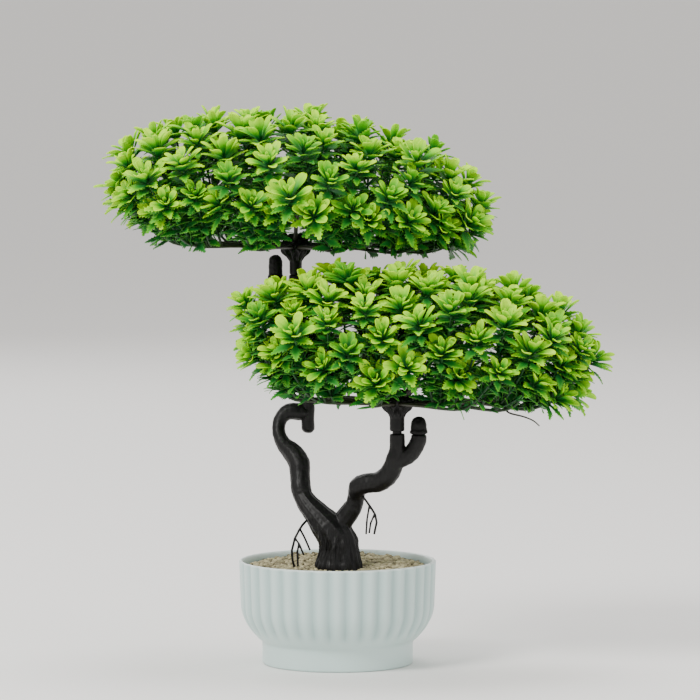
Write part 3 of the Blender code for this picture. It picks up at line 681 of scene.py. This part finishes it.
def sprig_sites(pad):
    rough = random.Random(pad.seed)
    centre = pad.foot + Vector((pad.offset[0], pad.offset[1], pad.girdle))
    wide = pad.half_width - LEAF_LENGTH
    deep = pad.half_depth - LEAF_LENGTH
    sites = []
    for n, angle in enumerate(polar_angles(pad)):
        turn = (n * GOLDEN_ANGLE + pad.phase) % math.tau
        reach = math.sin(angle)
        skirt = pad.skirt * math.cos(turn) ** 2 + pad.front * math.sin(turn) ** 2
        high = (pad.crown if angle < math.pi / 2 else skirt) - LEAF_LENGTH
        out = Vector((wide * reach * math.cos(turn), deep * reach * math.sin(turn), high * math.cos(angle)))
        facing = Vector((out.x / wide**2, out.y / deep**2, out.z / high**2)).normalized()
        out += facing * rough.uniform(-SPRIG_SUNK, SPRIG_PROUD)
        out.z += pad.tilt * out.x
        lean = [rough.uniform(-SPRIG_SCATTER, SPRIG_SCATTER) for _ in range(2)]
        along = (facing + UP * SPRIG_RISE + Vector((*lean, 0))).normalized()
        sites.append(Sprig(centre + out, along, turn, reach if angle < math.pi / 2 else 2 - reach))
    return sites


def outer_socket(pad, k):
    turn = math.tau * (k + 0.5) / OUTER_SPRAYS
    along = Vector((math.cos(turn), math.sin(turn), 0.05)).normalized()
    mouth = pad.foot + Vector((0, 0, 1 + HUB_RIM * 0.55)) + HUB_RADIUS * along
    return mouth - along * SOCKET_DEPTH, mouth, along


def inner_socket(pad, k):
    turn = math.tau * k / INNER_SPRAYS
    flat = math.cos(INNER_RISE)
    along = Vector((math.cos(turn) * flat, math.sin(turn) * flat, math.sin(INNER_RISE)))
    radius = (HUB_RADIUS + CROWN_RADIUS) / 2
    mouth = pad.foot + Vector((radius * math.cos(turn), radius * math.sin(turn), 1 + HUB_RIM + HUB_CROWN / 2))
    return mouth - along * SOCKET_DEPTH, mouth, along


def spoke_points(pad, socket, sprigs, inner):
    """(points, farthest sprig, length of the low run seen from above) of a spoke."""
    middle = sum((sprig.foot for sprig in sprigs), Vector()) / len(sprigs)
    hub = pad.foot + UP * (1 + HUB_RIM / 2)
    far = max(sprigs, key=lambda sprig: (sprig.foot - hub).xy.length)
    ends = hub + ((middle + far.foot) / 2 - hub) * (INNER_REACH if inner else OUTER_REACH)
    if inner:
        ends.z = hub.z + (middle.z - hub.z) * 0.55
    else:
        ends.z = hub.z + 1.5 + pad.tilt * (ends.x - hub.x) * 0.5
    foot, mouth, along = socket
    start = mouth + along * 2
    ahead = start + along * (ends - start).length * 0.4
    bend = ahead * 0.775 + ends * 0.225
    tip = far.foot + far.along
    rise = ends.lerp(tip, 0.5) - UP * (tip.z - ends.z) * 0.14
    return [foot, start, bend, ends, rise, tip], far, (ends - hub).xy.length


def point_on(points, share):
    place = share * (len(points) - 1)
    i = min(int(place), len(points) - 2)
    return points[i].lerp(points[i + 1], place - i)


# A whorl of leaves: their outline, how many, the height of their feet above the sprig's foot, their length
# and width, how many degrees they open from the sprig's axis and how many more at the tip, how far their
# sides rise, and their tone at foot and tip
Whorl = namedtuple("Whorl", "outline count foot length width opened curl cup tones")

ROUND_ROWS = np.array([0, 0.18, 0.34, 0.50, 0.64, 0.76, 0.87, 0.95, 1.0])
ROUND_ACROSS = np.array([-1, -0.72, -0.38, 0, 0.38, 0.72, 1])
SAW_ROWS = np.array([0, 0.16, 0.30, 0.36, 0.44, 0.50, 0.58, 0.64, 0.72, 0.78, 0.86, 0.91, 1.0])
SAW_ACROSS = np.array([-1, -0.5, 0, 0.5, 1])
SLIM_ROWS = np.array([0, 0.2, 0.45, 0.7, 0.9, 1.0])
SLIM_ACROSS = np.array([-1, 0, 1])


def round_outline(t):
    stem = 0.20 + 0.80 * smoothstep((t - 0.16) / 0.56)
    tip = np.sqrt(np.clip(1 - (np.clip(t - 0.72, 0, 1) / 0.287) ** 2, 0, 1))
    return np.where(t < 0.72, stem, tip)


def saw_outline(t):
    body = 0.20 + 0.80 * smoothstep(t / 0.45)
    tip = np.clip((1.02 - t) / 0.57, 0, 1) ** 0.8
    return np.where(t < 0.45, body, tip)


def slim_outline(t):
    return 0.35 + 0.65 * np.sin(np.pi * np.clip(t * 0.95 + 0.03, 0, 1)) - 0.25 * t


def leaf_grid(outline, length, width, opened, curl, cup):
    """A leaf's points, in rows from foot to tip. Its y runs away from the sprig's axis, its z along it."""
    if outline == "round":
        t, s, shape = ROUND_ROWS, ROUND_ACROSS, round_outline
    elif outline == "saw":
        t, s, shape = SAW_ROWS, SAW_ACROSS, saw_outline
    else:
        t, s, shape = SLIM_ROWS, SLIM_ACROSS, slim_outline
    half = shape(t) * width / 2
    lean = opened + curl * t * t
    steps = np.diff(t, prepend=0) * length
    y = np.cumsum(steps * np.sin(lean))
    z = np.cumsum(steps * np.cos(lean))
    across = s[None, :] * half[:, None]
    rise = cup * (s[None, :] ** 2) * half[:, None]
    forward = np.zeros_like(across)
    if outline == "saw":
        teeth = np.array([0, 0, 0, 1, 0, 1, 0, 1, 0, 1, 0, 1, 0]) * 1.0
        notch = np.array([0, 0, 1, 0, 1, 0, 1, 0, 1, 0, 1, 0, 0]) * 1.0
        side = np.abs(s)[None, :] ** 3
        across = across * (1 + side * (0.30 * teeth - 0.26 * notch)[:, None])
        forward = side * (teeth * 0.06 * length)[:, None]
        crease = np.where(np.abs(s) == 0.5, 1, 0)[None, :] * smoothstep(t * 3)[:, None]
        rise = rise + 0.10 * length / 12 * crease
    if outline == "round":
        ridge = np.where(np.isin(np.abs(s), (0.38, 1.0)), 0.16, 0.0)
        rise = rise + ridge[None, :] * smoothstep(t * 2.5)[:, None] * (length / 11)
    out_y, out_z = np.sin(lean)[:, None], np.cos(lean)[:, None]
    points = np.stack([across, y[:, None] - out_z * rise + out_y * forward,
                       z[:, None] + out_y * rise + out_z * forward], 2)
    return points, t, s


def add_whorl(gathered, rough, whorl, foot, axis, spin, scale, tone_and_top_light, lowest=-1.0):
    """One ring of leaves round the axis, without those that would hang more steeply than lowest."""
    side = axis.orthogonal().normalized()
    beside = axis.cross(side)
    basis = np.array([side, beside, axis])
    for k in range(whorl.count):
        turn = spin + math.tau * k / whorl.count + rough.uniform(-0.26, 0.26)
        size = scale * rough.uniform(0.76, 1.10)
        opened = math.radians(whorl.opened + rough.uniform(-13, 13))
        curl = math.radians(whorl.curl + rough.uniform(-14, 14))
        points, t, s = leaf_grid(whorl.outline, whorl.length * size, whorl.width * size, opened, curl,
                                 whorl.cup * rough.uniform(0.7, 1.3))
        twist = rough.uniform(-0.14, 0.14)
        points[:, :, 0] += twist * points[:, :, 1]
        points[:, :, 1] += 0.7  # the leaf's foot is on the stem's skin
        cos, sin = math.cos(turn), math.sin(turn)
        x, y = points[:, :, 0].copy(), points[:, :, 1].copy()
        points[:, :, 0] = x * cos + y * sin
        points[:, :, 1] = -x * sin + y * cos
        placed = points.reshape(-1, 3) @ basis + np.array(foot + axis * whorl.foot * scale)
        if placed[-1, 2] - placed[0, 2] < lowest * whorl.length * size:
            continue
        rows, columns = len(t), len(s)
        faces = [(i * columns + j, i * columns + j + 1, (i + 1) * columns + j + 1, (i + 1) * columns + j)
                 for i in range(rows - 1) for j in range(columns - 1)]
        low, high = whorl.tones
        tone = (low + (high - low) * smoothstep(t * 1.15 - 0.12)) * tone_and_top_light + rough.uniform(-0.07, 0.07)
        tone = np.repeat(tone, columns)
        # weight of the painted highlight along the leaf's edges
        edge = np.tile(np.abs(s) ** 4, rows)
        rib = np.tile((s == 0) * 1.0, rows) * np.repeat(1 - 0.6 * t, columns)
        gathered.add(placed.tolist(), faces, tone=tone.tolist(), edge=edge.tolist(), rib=rib.tolist(),
                     shade=rough.uniform(0, 1))


UNDER = Whorl("saw", 5, -4.0, 14.5, 6.8, 84, 22, 0.10, (0.05, 0.46))
MIDDLE = Whorl("saw", 5, -1.4, 16.4, 7.8, 60, 20, 0.24, (0.06, 0.86))
ROUNDS = Whorl("round", 5, 0.8, 15.6, 6.2, 48, 12, 0.30, (0.02, 1.00))
SECOND = Whorl("round", 4, 2.0, 13.6, 5.2, 29, 12, 0.36, (0.04, 1.00))
CENTRE = Whorl("round", 3, 3.0, 8.6, 3.0, 13, 12, 0.40, (0.10, 0.95))
COLLAR = Whorl("saw", 5, 0.0, 13.0, 6.0, 70, 18, 0.12, (0.02, 0.24))
NEEDLES = Whorl("slim", 7, 0.0, 11.5, 1.9, 46, 30, 0.10, (0.02, 0.22))
SPRIG_WHORLS = ((UNDER, 0.2), (MIDDLE, 0.7), (ROUNDS, 0.0), (SECOND, 0.55), (CENTRE, 0.3))
LOWER_WHORLS = ((COLLAR, -0.45), (NEEDLES, -0.15))  # each with how steeply its leaves may hang
LOWER_WHORL_PLACES = (8.0, 13.5, 19.0, 25.0, 32.0, 39.0, 47.0, 56.0)  # distances back from a twig's tip


def add_sprig(gathered, rough, sprig, hub):
    """The stacked whorls at a twig's tip."""
    scale = rough.uniform(0.80, 1.14)
    # painted top light: sprigs higher above the hub are made lighter; some sprigs are also darker at random
    height = min(max((sprig.foot.z - hub.z) / 50, 0), 1)
    tone_and_top_light = 0.76 + 0.20 * height + rough.uniform(-0.14, 0.12)
    if rough.random() < 0.18:
        tone_and_top_light *= 0.66
    spin = rough.uniform(0, math.tau)
    for whorl, turn in SPRIG_WHORLS:
        add_whorl(gathered, rough, whorl, sprig.foot, sprig.along, spin + turn, scale, tone_and_top_light)


def add_stem(twigs, points, first, last, sides, start, end):
    """A tapering twig, whose colour goes from its start to its end value."""
    count = len(points)
    radii = [first + (last - first) * i / (count - 1) for i in range(count)]
    places, faces = tube(points, radii, sides)
    twigs.add(places, faces, out=np.repeat(np.linspace(start, end, count), sides).tolist())


def add_collars(leaves, rough, stem, tip):
    """Dark whorls and needles down a twig from its tip, as far as its foot."""
    length = (tip - stem[0]).length
    for n, back in enumerate(LOWER_WHORL_PLACES):
        if back > length * 0.88:
            break
        below = [i for i in range(1, len(stem) - 1) if (stem[i] - tip).length >= back]
        if not below:
            break
        i = below[-1]
        ahead = (stem[i + 1] - stem[i - 1]).normalized()
        whorl, lowest = LOWER_WHORLS[n % 2]
        spin, scale = rough.uniform(0, math.tau), rough.uniform(0.85, 1.1)
        add_whorl(leaves, rough, whorl, stem[i], ahead, spin, scale, 1.0, lowest)


def make_spray(name, pad, socket, sprigs, inner, body, replaced):
    rough = random.Random(name)
    rows, far, full = spoke_points(pad, socket, sprigs, inner)
    hub = pad.foot + UP * (1 + HUB_RIM / 2)
    twigs = Gather("out")
    leaves = Gather("tone", "edge", "rib", "shade")
    spoke = curve_through(rows, SPOKE_STEPS)
    add_stem(twigs, spoke, SPOKE_RADIUS, 0.62, 10, 0.0, 0.9)
    for sprig in sprigs:
        if sprig is far:
            stem = spoke[2 * SPOKE_STEPS :]
        else:
            share = min(max((sprig.foot - hub).xy.length / full * TWIG_SPREAD, 0.25), 0.96)
            start = point_on(spoke[SPOKE_STEPS : 3 * SPOKE_STEPS + 1], share)
            knee = start.lerp(sprig.foot, 0.55) - UP * (sprig.foot.z - start.z) * 0.12
            stem = curve_through([start, knee, sprig.foot], STEM_STEPS)
            add_stem(twigs, stem, 0.95, 0.62, 7, 0.25 + 0.35 * share, 1.0)
        core = [sprig.foot - sprig.along * 0.5, sprig.foot + sprig.along * 5.5]
        add_stem(twigs, core, 0.62, 0.5, 7, 1.0, 1.0)
        add_sprig(leaves, rough, sprig, hub)
        add_collars(leaves, rough, stem, sprig.foot)
    add_piece(name + "_twigs", twigs.mesh(name + "_twigs"), TWIG, body, [replaced])
    piece = add_piece(name + "_leaves", leaves.mesh(name + "_leaves"), LEAF, body, [replaced])
    thick = piece.modifiers.new("thickness", "SOLIDIFY")
    thick.thickness = 0.32 * MM
    thick.offset = -1
    return piece


def make_canopy(pad):
    body = pad.name + "_canopy"
    sites = sprig_sites(pad)
    outer = [sprig for sprig in sites if sprig.reach >= INNER_SHARE]
    inner = [sprig for sprig in sites if sprig.reach < INNER_SHARE]
    for k in range(OUTER_SPRAYS):
        mine = [sprig for sprig in outer if int(sprig.turn / math.tau * OUTER_SPRAYS) == k]
        name = f"{pad.name}_outer_{k + 1:02d}"
        make_spray(name, pad, outer_socket(pad, k), mine, False, body, f"{pad.name}_outer_spray_{k + 1:02d}")
    for k in range(INNER_SPRAYS):
        mine = [sprig for sprig in inner if round(sprig.turn / math.tau * INNER_SPRAYS) % INNER_SPRAYS == k]
        name = f"{pad.name}_inner_{k + 1}"
        make_spray(name, pad, inner_socket(pad, k), mine, True, body, f"{pad.name}_inner_spray_{k + 1}")
    sculpted(pad.name + "_hub_moulding", pad.name + "_hub", 0.5, 4,
             lambda place, normal: hub_relief(place, normal, pad.foot.z, pad.foot), BARK, body)


def make_stray_twig():
    """A bare runner that hangs out from under the lower canopy."""
    stations = [(60, -11, 7), (66.5, -13, 3.5), (70, -15, -0.5)]
    stations += [(79, -17, -2.8), (85, -18, -5.2), (89, -19, -8.5)]
    path = curve_through([LOWER.foot + Vector(station) for station in stations], STEM_STEPS)
    twigs = Gather("out")
    add_stem(twigs, path, 0.75, 0.4, 8, 0.0, 0.3)
    add_piece("lower_stray_twig", twigs.mesh("lower_stray_twig"), TWIG, "lower_canopy")


# ---------------------------------------------------------------- studio

FLOOR_RINGS = ((5.0, 0.0), (6.5, 0.04), (8.0, 0.16), (10.0, 0.45), (12.0, 0.95), (14.0, 1.7), (16.0, 2.7))
LIGHT_AIM = Vector((0, 0, 0.18))
CAMERA_PLACE = Vector((0.0079, -3.0, 0.417))
CAMERA_AIM = Vector((0.0079, 0, 0.200))
FOCAL_LENGTH = 243.5  # millimetres, as a lens is marked


def make_floor():
    """A floor that is level under the tree and rises far out, like a studio's curved backdrop."""
    mesh = bpy.data.meshes.new("floor")
    sides = 64
    points = [(radius * math.cos(math.tau * k / sides), radius * math.sin(math.tau * k / sides), height)
              for radius, height in FLOOR_RINGS for k in range(sides)]
    faces = [face[::-1] for face in ring_faces(len(FLOOR_RINGS), sides, closed=False)] + [tuple(range(sides))]
    mesh.from_pydata(points, [], faces)
    mesh.polygons.foreach_set("use_smooth", [True] * len(mesh.polygons))
    floor = bpy.data.objects.new("floor", mesh)
    bpy.context.scene.collection.objects.link(floor)
    material, _, shader = new_material("floor_pale", 0.6, 0.2)
    shader.inputs["Base Color"].default_value = (0.90, 0.885, 0.865, 1)
    mesh.materials.append(material)


def add_light(name, place, size, power, colour=(1, 1, 1)):
    data = bpy.data.lights.new(name, "AREA")
    data.shape = "DISK"
    data.size = size
    data.energy = power
    data.color = colour
    light = bpy.data.objects.new(name, data)
    light.location = place
    light.rotation_mode = "QUATERNION"
    light.rotation_quaternion = (LIGHT_AIM - Vector(place)).to_track_quat("-Z", "Y")
    bpy.context.scene.collection.objects.link(light)


def make_lights():
    add_light("key", (-1.5, -1.5, 2.1), 1.1, 72, (1.0, 0.985, 0.955))
    add_light("fill", (1.9, -1.5, 1.1), 1.8, 12, (0.98, 0.99, 1.0))
    add_light("top", (0.1, 0.4, 2.3), 1.0, 24)
    add_light("back", (-0.9, 2.2, 1.3), 1.4, 16)
    world = bpy.data.worlds.new("studio")
    world.use_nodes = True
    world.node_tree.nodes["Background"].inputs["Color"].default_value = (1.0, 0.985, 0.965, 1)
    world.node_tree.nodes["Background"].inputs["Strength"].default_value = 0.85
    bpy.context.scene.world = world


def make_camera():
    data = bpy.data.cameras.new("camera")
    data.lens = FOCAL_LENGTH
    data.sensor_width = 36
    data.clip_end = 100
    camera = bpy.data.objects.new("camera", data)
    camera.location = CAMERA_PLACE
    camera.rotation_mode = "QUATERNION"
    camera.rotation_quaternion = (CAMERA_AIM - CAMERA_PLACE).to_track_quat("-Z", "Y")
    bpy.context.scene.collection.objects.link(camera)
    bpy.context.scene.camera = camera


# ---------------------------------------------------------------- the object and its studio

make_pot()
make_shaded_bed()
make_stones()
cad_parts["filler_block"].data.materials.clear()
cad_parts["filler_block"].data.materials.append(filler_material())
make_trunk()
make_pin("upper_pin_rod", "upper_dowel", "upper_pin")
make_pin("lower_pin_rod", "lower_dowel", "lower_pin")
make_canopy(UPPER)
make_canopy(LOWER)
make_stray_twig()
make_floor()
make_lights()
make_camera()
